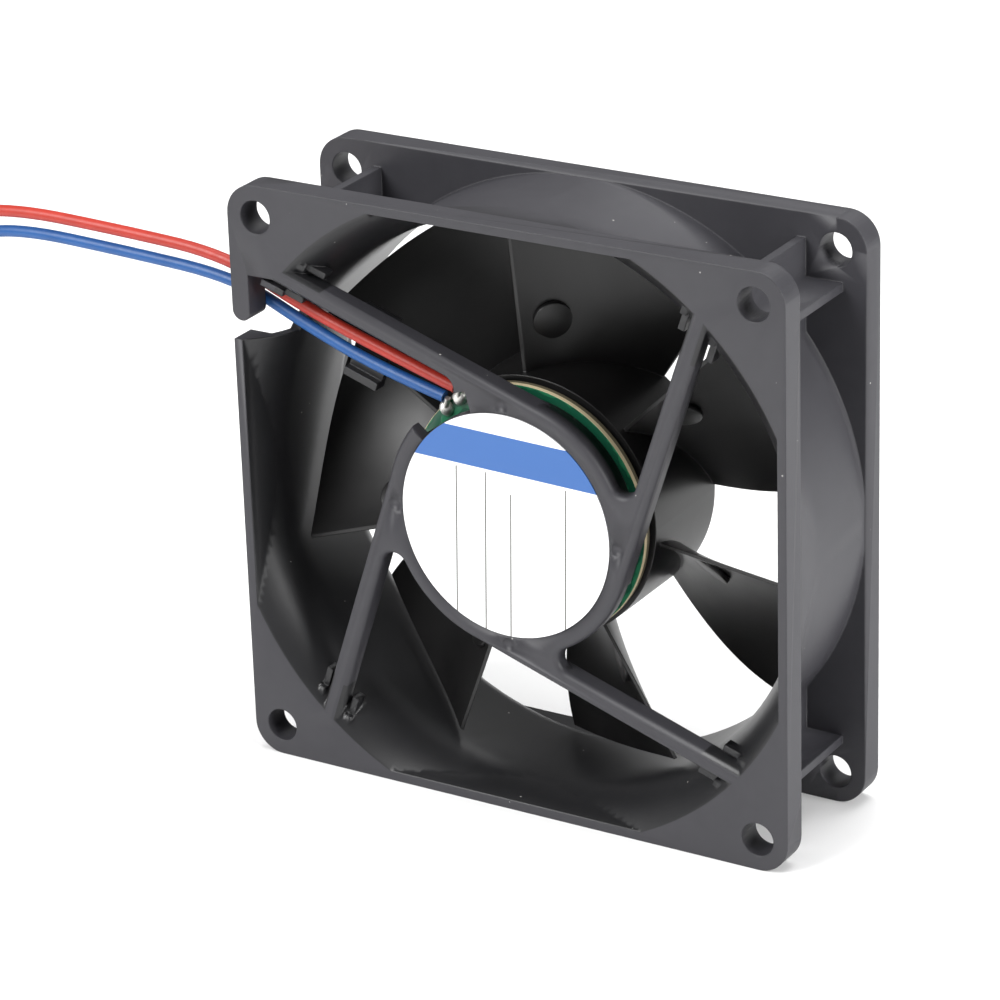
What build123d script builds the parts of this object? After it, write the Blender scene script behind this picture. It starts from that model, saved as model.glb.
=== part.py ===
# Compact axial cooling fan, 80 by 80 by 25.4 mm, with its brushless motor.
# The fan's axis is Y. The strut side, where the air leaves, faces -Y; +Z is up.
# The origin lies on the axis, halfway between the two flange faces. All sizes are in millimetres.
from build123d import *
from math import cos, degrees, pi, radians, sin, sqrt, tan
import os

os.makedirs("parts", exist_ok=True)

# Housing
side = 80.0
depth = 25.4
corner_radius = 4.2
flange = 3.8
hole_pitch = 71.5
hole_diameter = 4.5
side_wall = 1.2
barrel_wall = 1.3
barrel_recess = 0.2
throat_radius = 38.5
outlet_length = 9.4
inlet_length = 4.5
outlet_radius = 43.3
outlet_belly = 39.8
inlet_radius = 42.4
inlet_belly = 39.7
belly_share = 0.58
rib_thickness = 1.2
rib_offset = 31.0
rib_recess = 0.5
overrun = 2.0

# Cable notch in the flange at the left edge
notch_low = 18.6
notch_height = 9.1
notch_reach = 31.6
notch_depth = 6.4
lug_width = 2.6
lug_rise = 2.7
lug_rounding = 1.1

# Motor base and struts
base_radius = 17.5
base_thickness = 2.0
base_rounding = 0.8
label_radius = 15.15
label_thickness = 0.2
label_gap = 0.15
skirt_outer = 16.0
skirt_wall = 1.2
window_from = 103.0
window_to = 144.0
strut_count = 4
strut_angle = 71.3
strut_width = 2.4
strut_depth = 2.8
strut_fillet = 1.8
strut_overrun = 1.8
strut_inset = 0.04
tab_spread = 2.35
tab_thickness = 0.9
tab_proud = 0.7
tab_depth = 2.6
tab_setback = 0.7
mark_radius = 0.9
mark_depth = 0.15
boss_wall = 1.4
boss_height = 2.4
hook_from = 24.7
hook_width = 5.1
hook_reach = 5.2
hook_thickness = 1.0
hook_lip = 1.1
hook_overlap = 0.3
hook_setback = 6.8

# Bearing
bearing_radius = 3.4
bearing_setback = 3.2
tube_wall = 0.95
tube_overhang = 1.0
tube_gap = 0.4
fit_gap = 0.05
shaft_radius = 1.5
shaft_gap = 0.03
socket_floor = 0.7
thrust_pad_thickness = 0.6
shaft_play = 0.1
washer_thickness = 0.35
washer_radius = 2.9
washer_gap = 0.1
ring_thickness = 0.4
ring_radius = 2.4
groove_depth = 0.3

# Circuit board
board_radius = 17.2
board_thickness = 1.2
board_setback = 5.5
board_gap = 0.15

# Stator
core_radius = 12.95
core_setback = 4.0
core_recess = 2.6
core_wall = 1.0
neck_width = 2.6
pole_count = 4
pole_span = 74.0
pole_thickness = 1.7
former_wall = 0.5
former_plate = 0.8
former_rim = 1.9
former_rim_height = 1.8
former_recess = 0.4
former_trim = 8.0
rim_trim = 20.0
coil_build = 1.45
coil_gap = 0.1
post_circle = 8.7
post_radius = 0.9
pin_radius = 0.3
pin_overhang = 0.7

# Rotor, from the air gap outwards
air_gap = 0.45
hub_wall = 1.4
hub_gap = 0.8
hub_setback = 1.5
hub_floor = 1.4
hub_rounding = 1.1
yoke_wall = 0.9
yoke_setback = 0.6
magnet_thickness = 1.9
magnet_recess = 1.2
magnet_clearance = 1.9
bush_radius = 3.6
bush_length = 4.4
bush_nose = 2.6
tip_gap = 1.1

# Blades
blade_count = 7
blade_angle = 75.4
trail_setback = 8.7
trail_sweep = 20.0
lead_setback = 2.3
lead_droop = 0.1
lead_sweep = 20.9
lead_taper = 0.0139
camber_root = 0.1
camber_tip = 0.07
blade_root = 1.5
blade_tip = 1.0
trail_thickness = 0.55
nose_thickness = 0.8
blade_sections = 5
root_sink = 0.6
tip_overrun = 1.5

# Parts on the board: length along the board's edge, height and width, then place by radius and angle
sensor_length = 3.0
sensor_height = 0.9
sensor_width = 2.4
sensor_circle = 12.6
sensor_angle = 218.0
chip_length = 4.9
chip_height = 1.45
chip_width = 3.9
chip_circle = 10.3
chip_angle = 270.0
chip_leg_pitch = 1.27
chip_leg_reach = 0.9
capacitor_radius = 2.0
capacitor_height = 2.9
capacitor_circle = 10.6
capacitor_angle = 22.0
resistor_length = 1.6
resistor_height = 0.5
resistor_width = 0.8
resistor_circle = 11.8
resistor_inset = 2.8
resistor_outset = 0.8
resistor_angles = (72.0, 176.0, 200.0, 240.0)
diode_length = 2.7
diode_height = 1.1
diode_width = 1.5
diode_circle = 11.2
diode_angle = 96.0

# Leads
lead_diameter = 1.6
strand_diameter = 0.8
joint_radius = 0.9
joint_height = 0.75
joint_taper = 25.0
coil_radius = 8.8
coil_spacing = 1.9
coil_centre_x = -120.5
coil_centre_y = 0.8
coil_height = 7.6
lead_lift = 0.3
bend_share = 0.45
strand_grip = 0.02

# Places that follow from the sizes
front = -depth / 2
rear = depth / 2
half = side / 2
floor = -half
throat_front = front + outlet_length
throat_rear = rear - inlet_length
tab_radius = outlet_belly - tab_proud
hook_rear = front + hook_setback
board_front = front + board_setback
board_rear = board_front + board_thickness
hub_front = board_rear + hub_gap
hub_rear = rear - hub_setback
yoke_rear = hub_rear - hub_floor
magnet_front = hub_front + magnet_recess
magnet_rear = yoke_rear - yoke_wall - magnet_clearance
core_front = board_rear + core_setback
core_rear = magnet_rear - core_recess
bush_front = yoke_rear - bush_length
tube_rear = bush_front - tube_gap
bearing_front = front + bearing_setback
bearing_rear = tube_rear - tube_overhang
trail_front = front + trail_setback
lead_rear = rear - lead_setback
inner_half = half - side_wall
barrel_half = half - barrel_recess
strut_offset = base_radius - strut_inset - strut_width / 2
strut_angles = [strut_angle + k * 360 / strut_count for k in range(strut_count)]
tube_inner = bearing_radius + fit_gap
tube_outer = tube_inner + tube_wall
magnet_inner = core_radius + air_gap
magnet_outer = magnet_inner + magnet_thickness
yoke_inner = magnet_outer + fit_gap
yoke_outer = yoke_inner + yoke_wall
hub_inner = yoke_outer + fit_gap
hub_radius = hub_inner + hub_wall
tip_radius = throat_radius - tip_gap


def at_y(y):
    """A sketch plane across the axis at height y, X to the right and Z up. It extrudes towards -Y."""
    return Plane.XZ.offset(-y)


def along(angle):
    """The frame turned by this angle about the axis, counter-clockwise as seen from the front."""
    return Location((0, 0, 0), (0, 0, 1), angle)


def polar(radius, angle):
    """The point at this radius and angle in a plane across the axis."""
    return (radius * cos(radians(angle)), radius * sin(radians(angle)))


def disc(name, radius, low, high, bore=0.0):
    """A plain disc or ring about the axis, from low to high along Y."""
    with BuildPart() as piece:
        with BuildSketch(at_y(high)):
            Circle(radius)
            if bore > 0:
                Circle(bore, mode=Mode.SUBTRACT)
        extrude(amount=high - low)
    piece.part.label = name
    return piece


def duct(wall, reach=1.0):
    """The duct's half profile in the radius-Y plane, offset outwards by wall and run on past both faces."""
    with BuildSketch(Plane.XY) as profile:
        with BuildLine():
            outlet = ThreePointArc(
                (outlet_radius + wall, front),
                (outlet_belly + wall, front + (throat_front - front) * (1 - belly_share)),
                (throat_radius + wall, throat_front),
            )
            throat = Line(outlet @ 1, (throat_radius + wall, throat_rear))
            inlet = ThreePointArc(
                throat @ 1,
                (inlet_belly + wall, throat_rear + (rear - throat_rear) * belly_share),
                (inlet_radius + wall, rear),
            )
            Polyline(
                inlet @ 1,
                (inlet_radius + wall, rear + reach),
                (0, rear + reach),
                (0, front - reach),
                (outlet_radius + wall, front - reach),
                outlet @ 0,
            )
        make_face()
    return profile.sketch


# The duct's cavity: round in the middle, flared to both faces and cut off flat by the four sides
with BuildPart() as cavity:
    add(duct(0))
    revolve(axis=Axis.Y)
    with BuildSketch(at_y(rear + overrun)):
        Rectangle(2 * inner_half, 2 * inner_half)
    extrude(amount=depth + 2 * overrun, mode=Mode.INTERSECT)

# The barrel between the flanges: the same form, one wall larger, cut off just inside the sides
with BuildPart() as barrel:
    add(duct(barrel_wall))
    revolve(axis=Axis.Y)
    with BuildSketch(at_y(rear - flange / 2)):
        Rectangle(2 * barrel_half, 2 * barrel_half)
    extrude(amount=depth - flange, mode=Mode.INTERSECT)

# The motor base with its four tangential struts, as one moulding with a rounded front
with BuildPart() as spider:
    with BuildSketch(at_y(front + base_thickness)) as plan:
        Circle(base_radius)
        for angle in strut_angles:
            with Locations(along(angle)):
                with Locations((0, -strut_offset)):
                    Rectangle(outlet_radius, strut_width, align=(Align.MIN, Align.CENTER))
        inner_edge = strut_offset - strut_width / 2
        for angle in strut_angles:
            corner = Vector(sqrt(base_radius**2 - inner_edge**2), -inner_edge).rotate(Axis.Z, angle)
            fillet(plan.vertices().sort_by_distance(corner)[0], strut_fillet)
    extrude(amount=base_thickness)
    fillet(spider.edges().group_by(Axis.Y)[0], base_rounding)
    with BuildSketch(at_y(front + strut_depth)):
        for angle in strut_angles:
            with Locations(along(angle)):
                with Locations((0, -strut_offset)):
                    Rectangle(outlet_radius, strut_width, align=(Align.MIN, Align.CENTER))
    extrude(amount=strut_depth - base_thickness)

# The housing: two square flanges, the barrel with its ribs, the motor base and the cable notch
with BuildPart() as housing:
    with BuildSketch(at_y(front + flange), at_y(rear)):
        RectangleRounded(side, side, corner_radius)
    extrude(amount=flange)
    add(barrel.part)
    with BuildSketch(at_y(rear - flange)):
        for angle in (0, 90, 180, 270):
            with Locations(along(angle)):
                with Locations((throat_radius / 2, rib_offset), (throat_radius / 2, -rib_offset)):
                    reach = half - rib_recess - throat_radius / 2
                    Rectangle(reach, rib_thickness, align=(Align.MIN, Align.CENTER))
    extrude(amount=depth - 2 * flange)
    add(cavity.part, mode=Mode.SUBTRACT)
    with BuildSketch(at_y(rear)):
        with GridLocations(hole_pitch, hole_pitch, 2, 2):
            Circle(hole_diameter / 2)
    extrude(amount=depth, mode=Mode.SUBTRACT)
    # The cable notch: a slot behind a hooked lug, so that the leads pass behind the lug and stay in
    with BuildSketch(at_y(front + flange)) as slot:
        with Locations((-half + lug_width, notch_low)):
            Rectangle(half - lug_width - notch_reach, notch_height, align=Align.MIN)
        with Locations((-half - overrun, notch_low)):
            Rectangle(lug_width + 2 * overrun, lug_rise, align=Align.MIN)
        lug_corner = (-half + lug_width, notch_low + lug_rise)
        fillet(slot.vertices().sort_by_distance(lug_corner)[0], lug_rounding)
    extrude(amount=flange + overrun, mode=Mode.SUBTRACT)
    with BuildSketch(at_y(front + notch_depth)):
        with Locations((-half - overrun, notch_low)):
            Rectangle(half + overrun - notch_reach, notch_height, align=Align.MIN)
    extrude(amount=notch_depth - flange, mode=Mode.SUBTRACT)
    add(spider.part)
    # Ledges on the duct's wall, on both sides of each strut's outer end
    with BuildSketch(at_y(front + tab_setback + tab_depth)):
        for angle in strut_angles:
            with Locations(along(angle)):
                for shift in (-tab_spread, tab_spread):
                    with Locations((sqrt(tab_radius**2 - (strut_offset + shift) ** 2), -strut_offset - shift)):
                        reach = outlet_radius + strut_overrun - tab_radius
                        Rectangle(reach, tab_thickness, align=(Align.MIN, Align.CENTER))
    extrude(amount=tab_depth)
    # Skirt behind the motor base, open where the leads are soldered
    with BuildSketch(at_y(board_front)) as skirt:
        Circle(skirt_outer)
        Circle(skirt_outer - skirt_wall, mode=Mode.SUBTRACT)
        with BuildLine():
            far = 2 * skirt_outer
            Polyline(
                (0, 0),
                polar(far, window_from),
                polar(far, (window_from + window_to) / 2),
                polar(far, window_to),
                (0, 0),
            )
        make_face(mode=Mode.SUBTRACT)
    extrude(amount=board_front - front - base_thickness)
    # Boss round the bearing tube, with the blind socket that the tube is pressed into
    with BuildSketch(at_y(front + base_thickness + boss_height)):
        Circle(tube_outer + boss_wall)
    extrude(amount=boss_height)
    with BuildSketch(at_y(front + base_thickness + boss_height)):
        Circle(tube_outer + fit_gap)
    extrude(amount=base_thickness + boss_height - socket_floor, mode=Mode.SUBTRACT)
    # The label's recess and four ejector marks
    with BuildSketch(at_y(front + label_thickness)):
        Circle(label_radius + label_gap)
    extrude(amount=label_thickness, mode=Mode.SUBTRACT)
    with BuildSketch(at_y(front + mark_depth)):
        with PolarLocations((label_radius + label_gap + base_radius) / 2, 4):
            Circle(mark_radius)
    extrude(amount=mark_depth, mode=Mode.SUBTRACT)
    # The hook on the upper left strut: down from the strut, behind the leads, and up again as a lip
    hook_top = strut_offset + hook_lip / 2
    with BuildSketch(at_y(hook_rear)):
        with Locations(along(strut_angles[1])):
            with Locations((hook_from, -hook_top)):
                Rectangle(hook_width, hook_top - hook_reach, align=Align.MIN)
    extrude(amount=hook_thickness)
    with BuildSketch(at_y(hook_rear - hook_thickness)):
        with Locations(along(strut_angles[1])):
            with Locations((hook_from, -hook_top)):
                Rectangle(hook_width, hook_lip, align=Align.MIN)
    extrude(amount=hook_rear - hook_thickness - front - strut_depth + hook_overlap)
    with BuildSketch(at_y(hook_rear - hook_thickness)):
        with Locations(along(strut_angles[1])):
            with Locations((hook_from, -hook_reach)):
                Rectangle(hook_width, hook_lip, align=(Align.MIN, Align.MAX))
    extrude(amount=hook_lip)
housing.part.label = "housing"
export_step(housing.part, "parts/housing.step")

# The round label, a thin disc that lies flush in the motor base
label = disc("label", label_radius, front, front + label_thickness)
export_step(label.part, "parts/label.step")

# Bearing tube, pressed into the base's socket
socket_y = front + socket_floor
bearing_tube = disc("bearing_tube", tube_outer, socket_y, tube_rear, tube_inner)
export_step(bearing_tube.part, "parts/bearing_tube.step")

# Sintered sleeve bearing with bevelled ends
with BuildPart() as sleeve_bearing:
    with BuildSketch(at_y(bearing_rear)):
        Circle(bearing_radius)
        Circle(shaft_radius + shaft_gap, mode=Mode.SUBTRACT)
    extrude(amount=bearing_rear - bearing_front)
    outer_ends = sleeve_bearing.edges().filter_by(GeomType.CIRCLE).group_by(SortBy.RADIUS)[-1]
    chamfer(outer_ends, (bearing_radius - shaft_radius) / 6)
sleeve_bearing.part.label = "sleeve_bearing"
export_step(sleeve_bearing.part, "parts/sleeve_bearing.step")

# Thrust pad at the bottom of the socket, and the oil washer in front of the bearing
thrust_pad = disc("thrust_pad", tube_inner - fit_gap, socket_y, socket_y + thrust_pad_thickness)
export_step(thrust_pad.part, "parts/thrust_pad.step")
oil_low = bearing_front - washer_thickness
oil_washer = disc("oil_washer", tube_inner - fit_gap, oil_low, bearing_front, shaft_radius + washer_gap)
export_step(oil_washer.part, "parts/oil_washer.step")

# Circuit board, a ring round the bearing tube
with BuildPart() as circuit_board:
    with BuildSketch(at_y(board_rear)):
        Circle(board_radius)
        Circle(tube_outer + board_gap, mode=Mode.SUBTRACT)
        with PolarLocations(post_circle, pole_count, 45):
            Circle(pin_radius + board_gap, mode=Mode.SUBTRACT)
    extrude(amount=board_thickness)
circuit_board.part.label = "circuit_board"
export_step(circuit_board.part, "parts/circuit_board.step")

# Laminated core: a ring on the bearing tube with four T-shaped poles
core_hub = tube_outer + fit_gap + core_wall
pole_angles = [k * 360 / pole_count for k in range(pole_count)]


def spokes(width, start, end):
    """Bars along every pole, drawn in the current sketch."""
    for angle in pole_angles:
        with Locations(along(angle)):
            with Locations((start, 0)):
                Rectangle(end - start, width, align=(Align.MIN, Align.CENTER))


def shoes(outer, inner, span):
    """Ring sectors over every pole's end, as a sketch across the axis."""
    with BuildSketch(Plane.XY) as ring:
        Circle(outer)
        Circle(inner, mode=Mode.SUBTRACT)
        with BuildLine():
            reach = 2 * outer
            Polyline((0, 0), polar(reach, -span / 2), (reach, 0), polar(reach, span / 2), (0, 0))
        make_face(mode=Mode.INTERSECT)
    with BuildSketch(Plane.XY) as group:
        for angle in pole_angles:
            add(ring.sketch, rotation=angle)
    return group.sketch


with BuildPart() as stator_core:
    with BuildSketch(at_y(core_rear)):
        Circle(core_hub)
        spokes(neck_width, 0, core_radius - pole_thickness / 2)
        add(shoes(core_radius, core_radius - pole_thickness, pole_span))
        Circle(tube_outer + fit_gap, mode=Mode.SUBTRACT)
    extrude(amount=core_rear - core_front)
stator_core.part.label = "stator_core"
export_step(stator_core.part, "parts/stator_core.step")

# Winding formers: a plate over each end of the core, rims that hold the coils, and slot liners
former_outer = core_radius - former_recess
former_hub = core_hub + former_wall
neck_slot = neck_width + 2 * fit_gap
former_neck = neck_slot + 2 * former_wall
core_middle = (core_front + core_rear) / 2


def former_plan():
    """The former's plate over one end of the core."""
    Circle(former_hub)
    spokes(former_neck, 0, former_outer - former_rim / 2)
    add(shoes(former_outer, former_outer - former_rim / 2, pole_span - former_trim))
    Circle(tube_outer + board_gap, mode=Mode.SUBTRACT)


def former_liner():
    """The former's walls along the ring and the necks, which line the slots."""
    Circle(former_hub)
    spokes(former_neck, 0, sqrt((core_radius - pole_thickness) ** 2 - (former_neck / 2) ** 2) - fit_gap)
    Circle(core_hub + fit_gap, mode=Mode.SUBTRACT)
    for angle in pole_angles:
        with Locations(along(angle)):
            Rectangle(core_radius, neck_slot, align=(Align.MIN, Align.CENTER), mode=Mode.SUBTRACT)


with BuildPart() as insulator_front:
    with BuildSketch(at_y(core_front)):
        former_plan()
        with PolarLocations(post_circle, pole_count, 45):
            Circle(post_radius)
        with PolarLocations(0, pole_count, 45):
            with Locations((former_hub - former_wall, 0)):
                Rectangle(post_circle - former_hub, post_radius, align=(Align.MIN, Align.CENTER))
    extrude(amount=former_plate)
    with BuildSketch(at_y(core_middle)):
        former_liner()
    extrude(amount=core_middle - core_front)
    with BuildSketch(at_y(core_front - former_plate)):
        Circle(former_hub)
        Circle(tube_outer + board_gap, mode=Mode.SUBTRACT)
        add(shoes(former_outer, former_outer - former_rim / 2, pole_span - rim_trim))
    extrude(amount=former_rim_height)
    with BuildSketch(at_y(core_front - former_plate)):
        with PolarLocations(post_circle, pole_count, 45):
            Circle(post_radius)
    extrude(amount=core_front - former_plate - board_rear)
    with BuildSketch(at_y(core_front)):
        with PolarLocations(post_circle, pole_count, 45):
            Circle(pin_radius + fit_gap / 2)
    extrude(amount=core_front - board_rear, mode=Mode.SUBTRACT)
insulator_front.part.label = "insulator_front"
export_step(insulator_front.part, "parts/insulator_front.step")

with BuildPart() as insulator_rear:
    with BuildSketch(at_y(core_rear + former_plate)):
        former_plan()
    extrude(amount=former_plate)
    with BuildSketch(at_y(core_rear)):
        former_liner()
    extrude(amount=core_rear - core_middle - fit_gap)
    with BuildSketch(at_y(core_rear + former_plate + former_rim_height)):
        Circle(former_hub)
        Circle(tube_outer + board_gap, mode=Mode.SUBTRACT)
        add(shoes(former_outer, former_outer - former_rim / 2, pole_span - rim_trim))
    extrude(amount=former_rim_height)
insulator_rear.part.label = "insulator_rear"
export_step(insulator_rear.part, "parts/insulator_rear.step")

# Four coils, each wound round the neck of its pole
coil_start = former_hub + coil_gap
coil_width = former_neck + 2 * coil_gap
coil_end = sqrt((core_radius - pole_thickness) ** 2 - (coil_width / 2 + coil_build) ** 2) - coil_gap
coil_length = core_rear - core_front + 2 * former_plate + 2 * coil_gap
with BuildPart() as stator_coils:
    for angle in pole_angles:
        radial = Vector(cos(radians(angle)), 0, sin(radians(angle)))
        across = Vector(-sin(radians(angle)), 0, cos(radians(angle)))
        centre = radial * coil_start + Vector(0, core_middle, 0)
        with BuildSketch(Plane(origin=centre, x_dir=across, z_dir=radial)):
            RectangleRounded(coil_width + 2 * coil_build, coil_length + 2 * coil_build, coil_build)
            Rectangle(coil_width, coil_length, mode=Mode.SUBTRACT)
    extrude(amount=coil_end - coil_start)
stator_coils.part.label = "stator_coils"
export_step(stator_coils.part, "parts/stator_coils.step")

# Pins from the front former through the board, where the coils' wires are soldered
with BuildPart() as winding_pins:
    with BuildSketch(at_y(core_front - fit_gap)):
        with PolarLocations(post_circle, pole_count, 45):
            Circle(pin_radius)
    extrude(amount=core_front - fit_gap - board_front + pin_overhang)
winding_pins.part.label = "winding_pins"
export_step(winding_pins.part, "parts/winding_pins.step")

# Parts on the board: the sensor faces the magnet, the others face the motor base
with BuildPart() as hall_sensor:
    with BuildSketch(at_y(board_rear + sensor_height)):
        with Locations(along(sensor_angle)):
            with Locations((sensor_circle, 0)):
                Rectangle(sensor_width, sensor_length)
    extrude(amount=sensor_height)
hall_sensor.part.label = "hall_sensor"
export_step(hall_sensor.part, "parts/hall_sensor.step")

with BuildPart() as driver_chip:
    with BuildSketch(at_y(board_front)):
        with Locations(along(chip_angle)):
            with Locations((chip_circle, 0)):
                Rectangle(chip_width, chip_length)
    extrude(amount=chip_height)
    chamfer(driver_chip.edges().group_by(Axis.Y)[0], chip_height / 6)
driver_chip.part.label = "driver_chip"
export_step(driver_chip.part, "parts/driver_chip.step")

with BuildPart() as chip_legs:
    with BuildSketch(at_y(board_front)):
        with Locations(along(chip_angle)):
            for edge in (-1, 1):
                with Locations((chip_circle + edge * (chip_width + chip_leg_reach) / 2, 0)):
                    with GridLocations(0, chip_leg_pitch, 1, 4):
                        Rectangle(chip_leg_reach, chip_leg_pitch / 3)
    extrude(amount=chip_height / 3)
chip_legs.part.label = "chip_legs"
export_step(chip_legs.part, "parts/chip_legs.step")

with BuildPart() as capacitor:
    with BuildSketch(at_y(board_front)):
        with Locations(polar(capacitor_circle, capacitor_angle)):
            Circle(capacitor_radius)
    extrude(amount=capacitor_height)
    fillet(capacitor.edges().group_by(Axis.Y)[0], capacitor_radius / 8)
capacitor.part.label = "capacitor"
export_step(capacitor.part, "parts/capacitor.step")

resistor_shifts = (0, 0, -resistor_inset, resistor_outset)
with BuildPart() as chip_resistors:
    with BuildSketch(at_y(board_front)):
        for angle, shift in zip(resistor_angles, resistor_shifts):
            with Locations(along(angle)):
                with Locations((resistor_circle + shift, 0)):
                    Rectangle(resistor_width, resistor_length)
    extrude(amount=resistor_height)
chip_resistors.part.label = "chip_resistors"
export_step(chip_resistors.part, "parts/chip_resistors.step")

with BuildPart() as diode:
    with BuildSketch(at_y(board_front)):
        with Locations(along(diode_angle)):
            with Locations((diode_circle, 0)):
                Rectangle(diode_width, diode_length)
    extrude(amount=diode_height)
    chamfer(diode.edges().group_by(Axis.Y)[0], diode_height / 6)
diode.part.label = "diode"
export_step(diode.part, "parts/diode.step")

# Rotor: a plastic hub cup with seven blades, open to the front
with BuildPart() as hub:
    with BuildSketch(Plane.XY) as hub_profile:
        with Locations((0, hub_front)):
            Rectangle(hub_radius, hub_rear - hub_front, align=Align.MIN)
        with Locations((0, hub_front)):
            inner_depth = hub_rear - hub_floor - hub_front
            Rectangle(hub_inner, inner_depth, align=Align.MIN, mode=Mode.SUBTRACT)
        rim_corner = (hub_radius, hub_rear)
        fillet(hub_profile.vertices().sort_by_distance(rim_corner)[0], hub_rounding)
    revolve(axis=Axis.Y)


def blade_sweep(radius):
    """The angle from a blade's middle to its leading edge, smaller towards the tip."""
    return lead_sweep - lead_taper * (radius - hub_radius) ** 2


middle = Vector(cos(radians(blade_angle)), 0, sin(radians(blade_angle)))
sideways = Vector(-sin(radians(blade_angle)), 0, cos(radians(blade_angle)))
blade_inner = hub_radius - hub_wall / 2
first = blade_inner * cos(radians(lead_sweep)) - root_sink
last = tip_radius + tip_overrun
heights = [first + (last - first) * k / (blade_sections - 1) for k in range(blade_sections)]
nose = nose_thickness / 2


def blade_section(height):
    """The blade's outline at this height: suction side, leading edge and pressure side."""
    share = (height - first) / (last - first)
    sweep_angle = blade_sweep(height / cos(radians(trail_sweep)))
    trail = Vector(height * tan(radians(trail_sweep)), trail_front)
    lead = Vector(-height * tan(radians(sweep_angle)), lead_rear - lead_droop * max(height - first, 0))
    chord = trail - lead
    unit = chord.normalized()
    normal = Vector(-unit.Y, unit.X)
    camber = chord.length * (camber_root + (camber_tip - camber_root) * share)
    belly = (trail + lead) * 0.5 + normal * camber
    thickness = blade_root + (blade_tip - blade_root) * share
    suction = (trail + Vector(trail_thickness / 2, 0), belly + normal * (thickness / 2), lead + normal * nose)
    edge = (lead + normal * nose, lead - unit * nose, lead - normal * nose)
    pressure = (lead - normal * nose, belly - normal * (thickness / 2), trail - Vector(trail_thickness / 2, 0))
    return suction, edge, pressure


with BuildPart() as blade:
    for height in heights:
        suction, edge, pressure = blade_section(height)
        with BuildSketch(Plane(origin=middle * height, x_dir=sideways, z_dir=-middle)):
            with BuildLine():
                upper = ThreePointArc(*suction)
                ThreePointArc(*edge)
                lower = ThreePointArc(*pressure)
                Line(lower @ 1, upper @ 0)
            make_face()
    loft()
    with BuildSketch(at_y(hub_rear)):
        Circle(tip_radius)
        Circle(blade_inner, mode=Mode.SUBTRACT)
    extrude(amount=hub_rear - hub_front, mode=Mode.INTERSECT)

with BuildPart() as impeller:
    add(hub.part)
    with Locations(*[Location((0, 0, 0), (0, 1, 0), k * 360 / blade_count) for k in range(blade_count)]):
        add(blade.part)
impeller.part.label = "impeller"
export_step(impeller.part, "parts/impeller.step")

# Steel yoke cup inside the hub, with the magnet ring inside the yoke
yoke_front = hub_front + yoke_setback
with BuildPart() as rotor_yoke:
    with BuildSketch(Plane.XY) as cup:
        with Locations((0, yoke_front)):
            Rectangle(yoke_outer, yoke_rear - yoke_front, align=Align.MIN)
            Rectangle(yoke_inner, yoke_rear - yoke_wall - yoke_front, align=Align.MIN, mode=Mode.SUBTRACT)
        fillet(cup.vertices().sort_by_distance((yoke_outer, yoke_rear))[0], yoke_wall)
        with Locations((0, yoke_front)):
            Rectangle(bush_radius + fit_gap, 2 * depth, align=Align.MIN, mode=Mode.SUBTRACT)
    revolve(axis=Axis.Y)
rotor_yoke.part.label = "rotor_yoke"
export_step(rotor_yoke.part, "parts/rotor_yoke.step")

magnet_ring = disc("magnet_ring", magnet_outer, magnet_front, magnet_rear, magnet_inner)
export_step(magnet_ring.part, "parts/magnet_ring.step")

# Shaft with the groove for its retaining ring, and the bush that carries the yoke on it
pad_rear = socket_y + thrust_pad_thickness
shaft_front = pad_rear + shaft_play
ring_rear = oil_low - washer_gap
groove_front = ring_rear - ring_thickness
with BuildPart() as shaft:
    with BuildSketch(Plane.XY) as shaft_profile:
        with Locations((0, shaft_front)):
            Rectangle(shaft_radius, yoke_rear - shaft_front, align=Align.MIN)
        chamfer(shaft_profile.vertices().sort_by_distance((shaft_radius, shaft_front))[0], groove_depth)
        with Locations((shaft_radius - groove_depth, groove_front - washer_gap / 4)):
            groove_width = ring_thickness + washer_gap / 2
            Rectangle(groove_depth * 2, groove_width, align=Align.MIN, mode=Mode.SUBTRACT)
    revolve(axis=Axis.Y)
shaft.part.label = "shaft"
export_step(shaft.part, "parts/shaft.step")

ring_bore = shaft_radius - groove_depth + fit_gap
with BuildPart() as retaining_ring:
    with BuildSketch(at_y(ring_rear)):
        Circle(ring_radius)
        Circle(ring_bore, mode=Mode.SUBTRACT)
        with Locations((ring_bore / 2, 0)):
            Rectangle(ring_radius, ring_bore, align=(Align.MIN, Align.CENTER), mode=Mode.SUBTRACT)
    extrude(amount=ring_thickness)
retaining_ring.part.label = "retaining_ring"
export_step(retaining_ring.part, "parts/retaining_ring.step")

nose_front = bearing_rear + washer_thickness + 3 * washer_gap
with BuildPart() as shaft_bush:
    with BuildSketch(Plane.XY):
        with Locations((0, bush_front)):
            Rectangle(bush_radius, yoke_rear - bush_front, align=Align.MIN)
        with Locations((0, nose_front)):
            Rectangle(bush_nose, bush_front - nose_front, align=Align.MIN)
        with Locations((0, nose_front)):
            Rectangle(shaft_radius + fit_gap / 2, 2 * depth, align=Align.MIN, mode=Mode.SUBTRACT)
    revolve(axis=Axis.Y)
shaft_bush.part.label = "shaft_bush"
export_step(shaft_bush.part, "parts/shaft_bush.step")

thrust_low = bearing_rear + washer_gap
thrust_washer = disc(
    "thrust_washer", washer_radius, thrust_low, thrust_low + washer_thickness, shaft_radius + fit_gap
)
export_step(thrust_washer.part, "parts/thrust_washer.step")

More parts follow.
